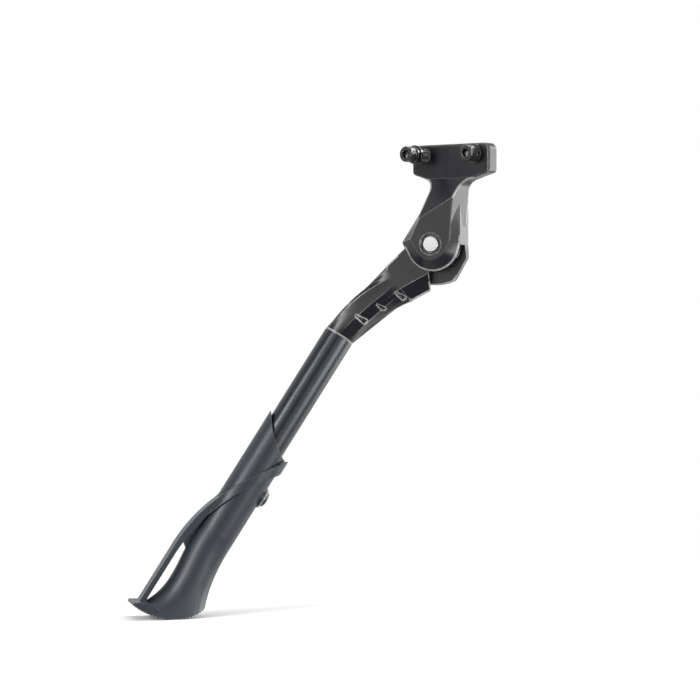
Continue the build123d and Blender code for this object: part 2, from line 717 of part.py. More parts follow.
with BuildPart() as toe_lip:
    with BuildSketch(FOOT_SIDE):
        with BuildLine():
            ThreePointArc(SOLE_TOE, sole @ (TOE_SHARE / 2), sole @ TOE_SHARE)
            Polyline(
                sole @ TOE_SHARE,
                TOE_ROOT,
                TOE_INSTEP,
                (LOOP_X - LOOP_THICKNESS, TOE_TOP),
                (SOLE_TOE[0], SOLE_TOE[1] - TOE_LIP),
                SOLE_TOE,
            )
        make_face()
    extrude(amount=STRAP_HALF, both=True)

with BuildPart() as foot:
    add(sleeve.part)
    add(body.part)
    add(strap.part)
    add(gusset.part)
    add(boot.part)
    add(toe_lip.part)
    with BuildSketch(FOOT_SIDE):
        with Locations([sole @ ((index + 0.5) / TREAD_COUNT) for index in range(TREAD_COUNT)]):
            Circle(TREAD_DEPTH)
    extrude(amount=FOOT_REACH, both=True, mode=Mode.SUBTRACT)
    with BuildSketch(LOCK):
        Circle(LOCK_FLANGE_R + LOCK_PAD)
    extrude(amount=TUBE_R - BODY_HEEL)
    with BuildSketch(FOOT):
        Circle(TUBE_R + FOOT_CLEARANCE)
    extrude(amount=BORE_BOTTOM, mode=Mode.SUBTRACT)
    with BuildSketch(LOCK):
        Circle(LOCK_INSERT_R + SEAT_CLEARANCE)
    extrude(amount=TUBE_R - BODY_HEEL, mode=Mode.SUBTRACT)

with BuildPart() as insert:
    with BuildSketch(LOCK):
        Circle(LOCK_INSERT_R)
        Circle(LOCK_SCREW_R + SEAT_CLEARANCE, mode=Mode.SUBTRACT)
    extrude(amount=LOCK_INSERT_BACK - BODY_HEEL)

with BuildPart() as lock_screw:
    with BuildSketch(LOCK):
        Circle(LOCK_FLANGE_R)
    extrude(amount=LOCK_FLANGE)
    with BuildSketch(LOCK.offset(LOCK_FLANGE)):
        Circle(LOCK_DOME_R)
    extrude(amount=LOCK_DOME)
    fillet(lock_screw.faces().sort_by(Axis(LOCK.origin, LOCK.z_dir))[-1].edges(), LOCK_DOME - LOCK_DOME_EDGE)
    with BuildSketch(LOCK.offset(LOCK_FLANGE + LOCK_DOME)):
        RegularPolygon(LOCK_SOCKET / 2, 6, major_radius=False)
    extrude(amount=-LOCK_SOCKET_DEPTH, mode=Mode.SUBTRACT)
    with BuildSketch(LOCK):
        Circle(LOCK_SCREW_R)
    extrude(amount=TUBE_R + LOCK_TIP_GAP - BODY_HEEL)


def screw_plane(x, drawn):
    """Plane square to a mounting screw, this far in front of the plate, facing outward."""
    return Plane(origin=(x, -PLATE_THICKNESS - drawn, 0), x_dir=(1, 0, 0), z_dir=(0, -1, 0))


def mounting_screw(x, drawn, slack):
    """Flat washer, spring washer and socket-head screw at one of the plate's holes.

    Args:
        x: place of the hole along the plate.
        drawn: gap between the plate and the flat washer.
        slack: gap between the two washers, and half of it under the head.

    Returns:
        The flat washer, the spring washer and the screw.
    """
    with BuildPart() as flat:
        with BuildSketch(screw_plane(x, drawn)):
            Circle(FLAT_WASHER_R)
            Circle(WASHER_BORE_R, mode=Mode.SUBTRACT)
        extrude(amount=FLAT_WASHER)
    with BuildPart() as split:
        with BuildSketch(screw_plane(x, drawn + FLAT_WASHER + slack)):
            Circle(SPRING_WASHER_R)
            Circle(WASHER_BORE_R, mode=Mode.SUBTRACT)
        extrude(amount=SPRING_WASHER)
        inner_y = -PLATE_THICKNESS - drawn - FLAT_WASHER - slack
        outer_y = inner_y - SPRING_WASHER
        with BuildSketch(Plane(origin=(x, 0, 0), x_dir=(0, 1, 0), z_dir=(0, 0, 1))):
            with BuildLine():
                Polyline(
                    (inner_y, 0),
                    (inner_y, SPRING_WASHER_SPLIT),
                    (outer_y, -SPRING_WASHER_SPLIT / 2),
                    (outer_y, -3 * SPRING_WASHER_SPLIT / 2),
                    close=True,
                )
            make_face()
        extrude(amount=SPRING_WASHER_R, mode=Mode.SUBTRACT)
    head_gap = slack / 2
    seat = screw_plane(x, drawn + FLAT_WASHER + slack + SPRING_WASHER + head_gap)
    with BuildPart() as screw:
        with BuildSketch(seat):
            Circle(SCREW_HEAD_R)
        extrude(amount=SCREW_HEAD)
        chamfer(screw.faces().sort_by(Axis.Y)[0].edges(), SCREW_HEAD_EDGE)
        with BuildSketch(seat.offset(SCREW_HEAD)):
            RegularPolygon(SCREW_SOCKET / 2, 6, major_radius=False)
        extrude(amount=-SCREW_SOCKET_DEPTH, mode=Mode.SUBTRACT)
        with BuildSketch(seat):
            Circle(SCREW_R)
        extrude(amount=-SCREW_LENGTH)
        chamfer(screw.faces().sort_by(Axis.Y)[-1].edges(), SCREW_TIP_CHAMFER)
    return flat.part, split.part, screw.part


HOLE_X = SCREW_SPACING / 2
front_flat, front_split, front_screw = mounting_screw(-HOLE_X, FRONT_SCREW_DRAWN, FRONT_SCREW_SLACK)
rear_flat, rear_split, rear_screw = mounting_screw(HOLE_X, REAR_SCREW_DRAWN, REAR_SCREW_SLACK)

PIECES = {
    "mounting_bracket": bracket.part,
    "front_flat_washer": front_flat,
    "front_spring_washer": front_split,
    "front_mounting_screw": front_screw,
    "rear_flat_washer": rear_flat,
    "rear_spring_washer": rear_split,
    "rear_mounting_screw": rear_screw,
    "pivot_pin": pin.part,
    "outer_thrust_washer": outer_washer,
    "inner_thrust_washer": inner_washer,
    "detent_plunger": plunger.part,
    "detent_spring": spring.part,
    "leg_arm": arm.part,
    "leg_tube": tube.part,
    "foot": foot.part,
    "length_lock_screw": lock_screw.part,
    "lock_screw_insert": insert.part,
}

os.makedirs("parts", exist_ok=True)
for name, piece in PIECES.items():
    piece.label = name
    export_step(piece, f"parts/{name}.step")
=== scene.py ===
"""Looks of a rear-mount bicycle kickstand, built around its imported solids."""

import json
import logging
import math
from dataclasses import dataclass, field, replace
from enum import Enum
from typing import Union

import bmesh
import bpy
from mathutils import Matrix, Vector


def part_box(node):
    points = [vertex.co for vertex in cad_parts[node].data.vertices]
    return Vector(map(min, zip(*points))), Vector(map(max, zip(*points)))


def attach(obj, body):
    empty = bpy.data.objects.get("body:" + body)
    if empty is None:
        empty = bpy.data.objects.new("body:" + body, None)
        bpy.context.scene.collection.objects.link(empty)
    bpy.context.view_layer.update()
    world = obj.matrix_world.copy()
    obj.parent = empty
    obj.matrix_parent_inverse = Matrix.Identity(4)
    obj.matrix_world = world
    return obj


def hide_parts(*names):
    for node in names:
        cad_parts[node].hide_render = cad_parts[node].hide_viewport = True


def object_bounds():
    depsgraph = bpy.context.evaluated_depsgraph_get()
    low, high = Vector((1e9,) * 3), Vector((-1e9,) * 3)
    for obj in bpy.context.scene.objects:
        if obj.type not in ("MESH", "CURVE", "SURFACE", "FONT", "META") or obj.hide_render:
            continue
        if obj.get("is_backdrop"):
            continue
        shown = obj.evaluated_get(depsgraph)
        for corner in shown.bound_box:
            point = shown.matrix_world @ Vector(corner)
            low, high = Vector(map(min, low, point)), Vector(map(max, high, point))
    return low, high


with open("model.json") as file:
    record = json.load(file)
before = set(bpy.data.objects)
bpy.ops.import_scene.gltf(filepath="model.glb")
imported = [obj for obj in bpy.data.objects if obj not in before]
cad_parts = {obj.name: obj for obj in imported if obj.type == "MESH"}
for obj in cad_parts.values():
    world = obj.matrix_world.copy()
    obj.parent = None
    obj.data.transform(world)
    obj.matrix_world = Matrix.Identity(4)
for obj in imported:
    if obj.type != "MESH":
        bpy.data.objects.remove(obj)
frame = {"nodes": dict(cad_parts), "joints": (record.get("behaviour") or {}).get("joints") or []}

LOG = logging.getLogger("kickstand")
MM = 0.001

# Sockets of a Mix node when it mixes colours: the factor and the two colours, and the result.
COLOUR_MIX_INPUTS = (0, 6, 7)
COLOUR_MIX_RESULT = 2

# Cosines of the turn at an edge where wear and a painted highlight start and where they are full, unless a
# finish has its own.
FIRST_TURN = 0.982
FULL_TURN = 0.87

Colour = tuple[float, float, float]
Pair = tuple[float, float]
Input = Union[bpy.types.NodeSocket, float, tuple, Vector]
Ring = list[bmesh.types.BMVert]


def joint(name: str) -> dict:
    """Give a joint of the frame by its name."""
    return next(item for item in frame["joints"] if item["name"] == name)


LEG_AXIS = Vector(joint("foot_slide")["axis"]).normalized()
PIVOT_AXIS = Vector(joint("leg_pivot")["axis"]).normalized()
PIVOT_PLACE = Vector(joint("leg_pivot")["pos_m"])


class Effect(Enum):
    """Shader node groups that several finishes share."""

    EDGE = "worn edge and painted highlight"
    GRAIN = "fine grain"
    MOTTLE = "soft mottle"
    LINES = "tool lines"


class Lay(Enum):
    """Way that fine tool lines run: as drawing or as turning leaves them."""

    ALONG = "Along"
    ROUND = "Round"


class Lie(Enum):
    """Way that a lamp's height lies."""

    UPRIGHT = "upright"
    TO_CAMERA = "to the camera"
    DOWN_LEG = "down the leg"


class Piece(Enum):
    """CAD nodes of the kickstand, by the name of the piece."""

    BRACKET = "mounting_bracket"
    FRONT_FLAT_WASHER = "front_flat_washer"
    FRONT_SPRING_WASHER = "front_spring_washer"
    FRONT_SCREW = "front_mounting_screw"
    REAR_FLAT_WASHER = "rear_flat_washer"
    REAR_SPRING_WASHER = "rear_spring_washer"
    REAR_SCREW = "rear_mounting_screw"
    PIN = "pivot_pin"
    OUTER_WASHER = "outer_thrust_washer"
    INNER_WASHER = "inner_thrust_washer"
    PLUNGER = "detent_plunger"
    SPRING = "detent_spring"
    ARM = "leg_arm"
    TUBE = "leg_tube"
    FOOT = "foot"
    LOCK_SCREW = "length_lock_screw"
    LOCK_INSERT = "lock_screw_insert"


class NodeTree:
    """Short way to add and link shader nodes in one tree."""

    def __init__(self, tree: bpy.types.NodeTree) -> None:
        """Keep the tree that nodes go into."""
        self.tree = tree

    def add(self, kind: str, **values: object) -> bpy.types.Node:
        """Add a node and set its properties and inputs.

        Args:
            kind: Blender's name of the node type.
            values: properties by name, or inputs by name with spaces as underscores.

        Returns:
            The new node.
        """
        node = self.tree.nodes.new(kind)
        for name, value in values.items():
            if hasattr(node, name):
                setattr(node, name, value)
            else:
                self.feed(node.inputs[name.replace("_", " ")], value)
        return node

    def feed(self, socket: bpy.types.NodeSocket, value: Input) -> None:
        """Fill an input of a node.

        Args:
            socket: the input.
            value: an output to link into it, or a plain value to set.
        """
        if isinstance(value, bpy.types.NodeSocket):
            self.tree.links.new(value, socket)
        else:
            socket.default_value = value

    def math(self, operation: str, first: Input, second: Input = 0.0) -> bpy.types.NodeSocket:
        """Work out a number from one or two others.

        Args:
            operation: Blender's name of the operation.
            first: the first number.
            second: the second number, where the operation takes one.

        Returns:
            The output with the result.
        """
        node = self.add("ShaderNodeMath", operation=operation)
        self.feed(node.inputs[0], first)
        self.feed(node.inputs[1], second)
        return node.outputs[0]

    def vector(self, operation: str, first: Input, second: Input | None = None) -> bpy.types.NodeSocket:
        """Work out a vector or a number from one or two vectors.

        Args:
            operation: Blender's name of the operation.
            first: the first vector.
            second: the second vector, or the number to scale by.

        Returns:
            The output with the result, a number where the operation gives one.
        """
        node = self.add("ShaderNodeVectorMath", operation=operation)
        self.feed(node.inputs[0], first)
        if second is not None:
            self.feed(node.inputs["Scale" if operation == "SCALE" else 1], second)
        return node.outputs["Value" if operation in ("DOT_PRODUCT", "LENGTH") else "Vector"]

    def ramp(self, value: Input, low: Input, high: Input, ends: Pair = (0.0, 1.0)) -> bpy.types.NodeSocket:
        """Map a number from one range to another, held at both ends.

        Args:
            value: the number to map.
            low: where the first end starts.
            high: where the second end starts.
            ends: the results at low and at high.

        Returns:
            The output with the result.
        """
        node = self.add("ShaderNodeMapRange", From_Min=low, From_Max=high, To_Min=ends[0], To_Max=ends[1])
        self.feed(node.inputs["Value"], value)
        return node.outputs["Result"]

    def noise(
        self, spot: Input, scale: Input, detail: float, roughness: float = 0.5
    ) -> bpy.types.NodeSocket:
        """Add a cloudy noise over the surface.

        Args:
            spot: the place that the noise is read at.
            scale: clouds to the metre.
            detail: how many finer layers it has.
            roughness: share of the finer layers.

        Returns:
            The output with the noise, about 0.5 in the middle.
        """
        node = self.add("ShaderNodeTexNoise", Vector=spot, Scale=scale, Detail=detail, Roughness=roughness)
        return node.outputs["Fac"]

    def blend(self, factor: Input, first: Input, second: Input) -> bpy.types.NodeSocket:
        """Mix two colours.

        Args:
            factor: share of the second colour.
            first: the first colour.
            second: the second colour.

        Returns:
            The output with the mixed colour.
        """
        node = self.add("ShaderNodeMix", data_type="RGBA")
        for index, value in zip(COLOUR_MIX_INPUTS, (factor, first, second)):
            self.feed(node.inputs[index], value)
        return node.outputs[COLOUR_MIX_RESULT]

    def spot(self) -> bpy.types.NodeSocket:
        """Give the place of a point on its own piece."""
        return self.add("ShaderNodeTexCoord").outputs["Object"]


class GroupTree(NodeTree):
    """The tree of one shared node group, with its own inputs and outputs."""

    def __init__(self, effect: Effect, inputs: dict[str, Input], outputs: dict[str, str]) -> None:
        """Make an empty group with its sockets.

        Args:
            effect: the effect that names the group.
            inputs: inputs and their defaults, a number or a vector.
            outputs: outputs and their socket types.
        """
        super().__init__(bpy.data.node_groups.new(effect.value, "ShaderNodeTree"))
        for name, default in inputs.items():
            kind = "NodeSocketVector" if isinstance(default, tuple) else "NodeSocketFloat"
            socket = self.tree.interface.new_socket(name, in_out="INPUT", socket_type=kind)
            socket.default_value = default
        for name, kind in outputs.items():
            self.tree.interface.new_socket(name, in_out="OUTPUT", socket_type=kind)
        self.given = self.add("NodeGroupInput").outputs
        self.sink = self.add("NodeGroupOutput").inputs


@dataclass
class EffectLibrary:
    """Builds each shared node group once, with the values that all finishes have in common."""

    bevel_samples: int = 6
    inside_samples: int = 16
    inside_reach: float = 1.6
    inside_flat: float = 0.945
    inside_round: float = 0.82
    patch_detail: float = 3.0
    patch_roughness: float = 0.6
    patch_range: Pair = (0.3, 0.65)
    patch_ends: Pair = (0.45, 1.0)
    fine_detail: float = 2.0
    coarse_detail: float = 1.0
    coarse_scale: float = 0.22
    cloud_detail: float = 4.0
    cloud_roughness: float = 0.55
    cloud_range: Pair = (0.3, 0.7)
    line_detail: float = 2.0
    groups: dict[Effect, bpy.types.NodeTree] = field(default_factory=dict)

    def get(self, effect: Effect) -> bpy.types.NodeTree:
        """Give the group for an effect, building it the first time.

        Args:
            effect: the effect.

        Returns:
            The group's tree.
        """
        makers = {
            Effect.EDGE: self.make_edge,
            Effect.GRAIN: self.make_grain,
            Effect.MOTTLE: self.make_mottle,
            Effect.LINES: self.make_lines,
        }
        if effect not in self.groups:
            self.groups[effect] = makers[effect]()
        return self.groups[effect]

    def round_mask(self, build: GroupTree, spot: bpy.types.NodeSocket) -> bpy.types.NodeSocket:
        """Mark rounded edges for wear and a painted highlight by how open the piece is just under its skin,
        apart from the spared slab.

        Args:
            build: the group of worn edges with a painted highlight.
            spot: the place of a point on its piece.

        Returns:
            The mask.
        """
        given = build.given
        reach = build.math("MULTIPLY", given["Radius"], self.inside_reach)
        inner = build.add(
            "ShaderNodeAmbientOcclusion",
            samples=self.inside_samples,
            inside=True,
            only_local=True,
            Distance=reach,
        )
        rounded = build.ramp(inner.outputs["AO"], self.inside_flat, self.inside_round)
        rounded = build.math("MULTIPLY", rounded, given["Round Share"])
        away = build.vector("SUBTRACT", spot, given["Spared Place"])
        depth = build.math("ABSOLUTE", build.vector("DOT_PRODUCT", away, given["Spared Axis"]))
        outside = build.math("GREATER_THAN", depth, given["Spared Depth"])
        beyond = build.math("GREATER_THAN", build.vector("LENGTH", away), given["Spared Reach"])
        return build.math("MULTIPLY", rounded, build.math("MAXIMUM", outside, beyond))

    def make_edge(self) -> bpy.types.NodeTree:
        """Make the group that rounds edges and marks them for wear and a painted highlight.

        Returns:
            The group's tree.
        """
        build = GroupTree(
            Effect.EDGE,
            {
                "Radius": 0.6 * MM,
                "First Turn": FIRST_TURN,
                "Full Turn": FULL_TURN,
                "Round Share": 0.0,
                "Patch Scale": 300.0,
                "Spared Place": (0.0, 0.0, 0.0),
                "Spared Axis": (0.0, 0.0, 1.0),
                "Spared Depth": 0.0,
                "Spared Reach": 0.0,
            },
            {"Normal": "NodeSocketVector", "Edge": "NodeSocketFloat"},
        )
        given = build.given
        spot = build.spot()
        flat = build.add("ShaderNodeNewGeometry").outputs["Normal"]
        bevel = build.add("ShaderNodeBevel", samples=self.bevel_samples, Radius=given["Radius"])
        rounded = bevel.outputs["Normal"]
        turn = build.vector("DOT_PRODUCT", rounded, flat)
        turned = build.ramp(turn, given["First Turn"], given["Full Turn"])
        shift = build.vector("SCALE", build.vector("SUBTRACT", rounded, flat), turned)
        eased = build.vector("ADD", flat, shift)
        # Edges and fillets that get the lighter colour: partly wear, partly a painted highlight.
        ridge = build.math("MAXIMUM", turned, self.round_mask(build, spot))
        patches = build.noise(spot, given["Patch Scale"], self.patch_detail, self.patch_roughness)
        uneven = build.ramp(patches, *self.patch_range, self.patch_ends)
        build.feed(build.sink["Normal"], build.vector("NORMALIZE", eased))
        build.feed(build.sink["Edge"], build.math("MULTIPLY", ridge, uneven))
        return build.tree

    def make_grain(self) -> bpy.types.NodeTree:
        """Make the group with the small bumps of a sprayed or moulded skin.

        Returns:
            The group's tree.
        """
        inputs = {"Scale": 2500.0, "Coarse Share": 0.35}
        build = GroupTree(Effect.GRAIN, inputs, {"Height": "NodeSocketFloat"})
        spot = build.spot()
        wide = build.math("MULTIPLY", build.given["Scale"], self.coarse_scale)
        fine = build.noise(spot, build.given["Scale"], self.fine_detail)
        coarse = build.noise(spot, wide, self.coarse_detail)
        share = build.math("MULTIPLY", coarse, build.given["Coarse Share"])
        build.feed(build.sink["Height"], build.math("ADD", fine, share))
        return build.tree

    def make_mottle(self) -> bpy.types.NodeTree:
        """Make the group with slow changes of tone over the surface.

        Returns:
            The group's tree.
        """
        build = GroupTree(Effect.MOTTLE, {"Scale": 60.0}, {"Tone": "NodeSocketFloat"})
        cloud = build.noise(build.spot(), build.given["Scale"], self.cloud_detail, self.cloud_roughness)
        build.feed(build.sink["Tone"], build.ramp(cloud, *self.cloud_range))
        return build.tree

    def make_lines(self) -> bpy.types.NodeTree:
        """Make the group with fine tool lines, along an axis or round it.

        Returns:
            The group's tree.
        """
        build = GroupTree(
            Effect.LINES,
            {"Axis": (0.0, 0.0, 1.0), "Place": (0.0, 0.0, 0.0), "Pitch": 2200.0, "Stretch": 0.01},
            {Lay.ALONG.value: "NodeSocketFloat", Lay.ROUND.value: "NodeSocketFloat"},
        )
        given = build.given
        away = build.vector("SUBTRACT", build.spot(), given["Place"])
        on_axis = build.vector("SCALE", given["Axis"], build.vector("DOT_PRODUCT", away, given["Axis"]))
        across = build.vector("SUBTRACT", away, on_axis)
        drawn = build.vector("ADD", across, build.vector("SCALE", on_axis, given["Stretch"]))
        lines = build.noise(build.vector("SCALE", drawn, given["Pitch"]), 1.0, self.line_detail)
        turned = build.math("MULTIPLY", build.vector("LENGTH", across), given["Pitch"])
        rings = build.add(
            "ShaderNodeTexNoise", noise_dimensions="1D", W=turned, Scale=1.0, Detail=self.line_detail
        )
        build.feed(build.sink[Lay.ALONG.value], lines)
        build.feed(build.sink[Lay.ROUND.value], rings.outputs["Fac"])
        return build.tree


@dataclass(frozen=True)
class SparedSlab:
    """Slab of thin walls across an axis, which keeps off the wear and painted highlight of rounded edges.
    """

    place: Vector = field(default_factory=Vector)
    axis: Vector = field(default_factory=Vector)
    depth: float = 0.0
    reach: float = 0.0


@dataclass(frozen=True)
class EdgeWearAndHighlight:
    """Skin rubbed thin along the edges, with a painted highlight on them, from a first turn of the surface
    to a full one, as cosines.
    """

    colour: Colour
    radius: float
    share: float = 0.5
    metal: float = 0.0
    first_turn: float = FIRST_TURN
    full_turn: float = FULL_TURN
    round_share: float = 0.0
    spared: SparedSlab = SparedSlab()

    def place(self, build: NodeTree, effects: EffectLibrary) -> bpy.types.Node:
        """Place the group of worn edges with a painted highlight in a material.

        Args:
            build: the material's tree.
            effects: the shared node groups.

        Returns:
            The group's node.
        """
        return build.add(
            "ShaderNodeGroup",
            node_tree=effects.get(Effect.EDGE),
            Radius=self.radius,
            First_Turn=self.first_turn,
            Full_Turn=self.full_turn,
            Round_Share=self.round_share,
            Spared_Place=self.spared.place,
            Spared_Axis=self.spared.axis,
            Spared_Depth=self.spared.depth,
            Spared_Reach=self.spared.reach,
        )


@dataclass(frozen=True)
class Grain:
    """Small bumps of a skin: how many to the metre, how high and how strong."""

    scale: float = 2500.0
    height: float = 0.02 * MM
    strength: float = 0.3


@dataclass(frozen=True)
class ToolLines:
    """Fine lines that drawing or turning left, about an axis."""

    lay: Lay
    axis: Vector
    place: Vector


@dataclass(frozen=True)
class Finish:
    """A skin with grain, slow tone changes and worn edges that carry a painted highlight."""

    name: str
    colour: Colour
    light_colour: Colour
    roughness: Pair
    edge: EdgeWearAndHighlight
    grain: Grain
    metallic: float = 0.0
    specular: float = 0.5
    mottle_scale: float = 60.0
    lines: ToolLines | None = None

    def make(self, effects: EffectLibrary) -> bpy.types.Material:
        """Build the material.

        Args:
            effects: the shared node groups.

        Returns:
            The new material.
        """
        material = bpy.data.materials.new(self.name)
        material.use_nodes = True
        material.node_tree.nodes.clear()
        build = NodeTree(material.node_tree)
        edge = self.edge.place(build, effects)
        grain = build.add("ShaderNodeGroup", node_tree=effects.get(Effect.GRAIN), Scale=self.grain.scale)
        mottle = build.add("ShaderNodeGroup", node_tree=effects.get(Effect.MOTTLE), Scale=self.mottle_scale)
        tone, height = mottle.outputs["Tone"], grain.outputs["Height"]
        skin = build.blend(tone, (*self.colour, 1.0), (*self.light_colour, 1.0))
        # Lighter edge colour: partly wear, partly a painted highlight along edges, creases and fillets.
        worn_and_highlit = build.math("MULTIPLY", edge.outputs["Edge"], self.edge.share)
        if self.lines:
            tool = build.add(
                "ShaderNodeGroup",
                node_tree=effects.get(Effect.LINES),
                Axis=self.lines.axis,
                Place=self.lines.place,
            )
            line = tool.outputs[self.lines.lay.value]
            height = build.math("ADD", height, line)
            tone = build.math("MULTIPLY", build.math("ADD", tone, line), 0.5)
        bump = build.add(
            "ShaderNodeBump",
            Strength=self.grain.strength,
            Distance=self.grain.height,
            Height=height,
            Normal=edge.outputs["Normal"],
        )
        shader = build.add(
            "ShaderNodeBsdfPrincipled",
            Base_Color=build.blend(worn_and_highlit, skin, (*self.edge.colour, 1.0)),
            Roughness=build.ramp(tone, 0.0, 1.0, self.roughness),
            Metallic=build.math("MULTIPLY", worn_and_highlit, self.edge.metal) if self.edge.metal else self.metallic,
            Specular_IOR_Level=self.specular,
            Normal=bump.outputs["Normal"],
        )
        build.add("ShaderNodeOutputMaterial", Surface=shader.outputs["BSDF"])
        return material


CASTING_PAINT = Finish(
    "satin black paint on the casting",
    colour=(0.0042, 0.0038, 0.0056),
    light_colour=(0.0066, 0.0060, 0.0084),
    roughness=(0.27, 0.36),
    specular=0.38,
    grain=Grain(1400.0, 0.03 * MM, 0.25),
    # Light grey edges: partly wear, partly a painted highlight on the casting's edges and fillets.
    edge=EdgeWearAndHighlight(
        (0.42, 0.42, 0.43),
        radius=0.8 * MM,
        share=0.65,
        round_share=1.0,
        spared=SparedSlab(PIVOT_PLACE, PIVOT_AXIS, depth=4.1 * MM, reach=24.0 * MM),
    ),
)
ARM_PAINT = replace(
    CASTING_PAINT,
    name="satin black paint on the arm",
    grain=replace(CASTING_PAINT.grain, strength=0.08),
    # Stronger edge colour that also catches the arm's shallow crease: a painted highlight.
    edge=replace(CASTING_PAINT.edge, share=0.8, first_turn=0.987, full_turn=0.968),
)
BLACK_TUBE = Finish(
    "satin black anodised tube",
    colour=(0.0052, 0.0078, 0.0102),
    light_colour=(0.0070, 0.0100, 0.0128),
    roughness=(0.27, 0.29),
    specular=0.45,
    grain=Grain(3000.0, 0.01 * MM, 0.04),
    edge=EdgeWearAndHighlight((0.35, 0.36, 0.37), radius=0.4 * MM, share=0.6),
    lines=ToolLines(Lay.ALONG, LEG_AXIS, PIVOT_PLACE),
)
FOOT_PLASTIC = Finish(
    "dark grey foot moulding",
    colour=(0.0110, 0.0165, 0.0210),
    light_colour=(0.0160, 0.0240, 0.0300),
    roughness=(0.36, 0.44),
    specular=0.40,
    grain=Grain(1800.0, 0.05 * MM, 0.2),
    mottle_scale=35.0,
    edge=EdgeWearAndHighlight((0.13, 0.145, 0.16), radius=0.8 * MM),
)
BLACK_OXIDE = Finish(
    "glossy black screw",
    colour=(0.006, 0.006, 0.007),
    light_colour=(0.012, 0.012, 0.013),
    roughness=(0.12, 0.20),
    specular=1.0,
    grain=Grain(scale=4000.0, strength=0.2),
    # Light metal edges: partly wear, partly painted glints on the screws.
    edge=EdgeWearAndHighlight((0.55, 0.55, 0.55), radius=0.3 * MM, share=0.7, metal=0.9),
)
BRIGHT_PIN = Finish(
    "bright pin end",
    colour=(0.36, 0.36, 0.37),
    light_colour=(0.44, 0.44, 0.44),
    roughness=(0.30, 0.42),
    metallic=1.0,
    grain=Grain(scale=3500.0, strength=0.12),
    edge=EdgeWearAndHighlight((0.50, 0.50, 0.50), radius=0.4 * MM),
    lines=ToolLines(Lay.ROUND, PIVOT_AXIS, PIVOT_PLACE),
)
PLAIN_STEEL = Finish(
    "plain spring steel",
    colour=(0.42, 0.42, 0.43),
    light_colour=(0.5, 0.5, 0.5),
    roughness=(0.28, 0.4),
    metallic=1.0,
    grain=Grain(strength=0.15),
    edge=EdgeWearAndHighlight((0.7, 0.7, 0.7), radius=0.2 * MM),
)
# Finish of the seam bead, which paints the highlight along the seam.
SEAM_HIGHLIGHT_STEEL = Finish(
    "dull bare steel for the seam highlight",
    colour=(0.40, 0.40, 0.41),
    light_colour=(0.50, 0.50, 0.50),
    roughness=(0.5, 0.65),
    metallic=1.0,
    grain=Grain(strength=0.1),
    edge=EdgeWearAndHighlight((0.6, 0.6, 0.6), radius=0.1 * MM, share=0.2),
)
BEARING_BRASS = Finish(
    "bearing brass",
    colour=(0.58, 0.40, 0.17),
    light_colour=(0.68, 0.50, 0.24),
    roughness=(0.28, 0.42),
    metallic=1.0,
    grain=Grain(strength=0.15),
    edge=EdgeWearAndHighlight((0.8, 0.64, 0.36), radius=0.2 * MM),
)


def cad(piece: Piece) -> bpy.types.Object:
    """Give the CAD node of a piece."""
    return frame["nodes"][piece.value]


@dataclass
class Dresser:
    """Puts finishes on pieces, each material built once."""

    effects: EffectLibrary = field(default_factory=EffectLibrary)
    materials: dict[str, bpy.types.Material] = field(default_factory=dict)

    def dress(self, piece: bpy.types.Object, finish: Finish) -> None:
        """Give a piece one finish.

        Args:
            piece: the object to dress.
            finish: the finish to put on it.
        """
        if finish.name not in self.materials:
            self.materials[finish.name] = finish.make(self.effects)
        piece.data.materials.clear()
        piece.data.materials.append(self.materials[finish.name])
        LOG.info("%s: %s", piece.name, finish.name)

    def dress_solids(self, finishes: dict[Piece, Finish]) -> None:
        """Give the CAD solids of some pieces their finishes."""
        for piece, finish in finishes.items():
            self.dress(cad(piece), finish)


def bridge(mesh: bmesh.types.BMesh, first: Ring, second: Ring) -> None:
    """Join two closed rings of as many points with faces.

    Args:
        mesh: the mesh that holds the rings.
        first: points of one ring, in order.
        second: points of the other ring, in the same order.
    """
    for index in range(len(first)):
        after = (index + 1) % len(first)
        mesh.faces.new((first[index], first[after], second[after], second[index]))


def add_piece(name: str, mesh: bmesh.types.BMesh, crisp_angle: float) -> bpy.types.Object:
    """Make a piece of the scene from a built mesh, shaded smooth apart from its crisp edges.

    Args:
        name: the piece's name.
        mesh: the built mesh, which is freed.
        crisp_angle: edges that turn by more than this, in degrees, stay crisp.

    Returns:
        The new piece.
    """
    bmesh.ops.recalc_face_normals(mesh, faces=mesh.faces[:])
    data = bpy.data.meshes.new(name)
    mesh.to_mesh(data)
    mesh.free()
    for polygon in data.polygons:
        polygon.use_smooth = True
    data.set_sharp_from_angle(angle=math.radians(crisp_angle))
    piece = bpy.data.objects.new(name, data)
    bpy.context.scene.collection.objects.link(piece)
    return piece


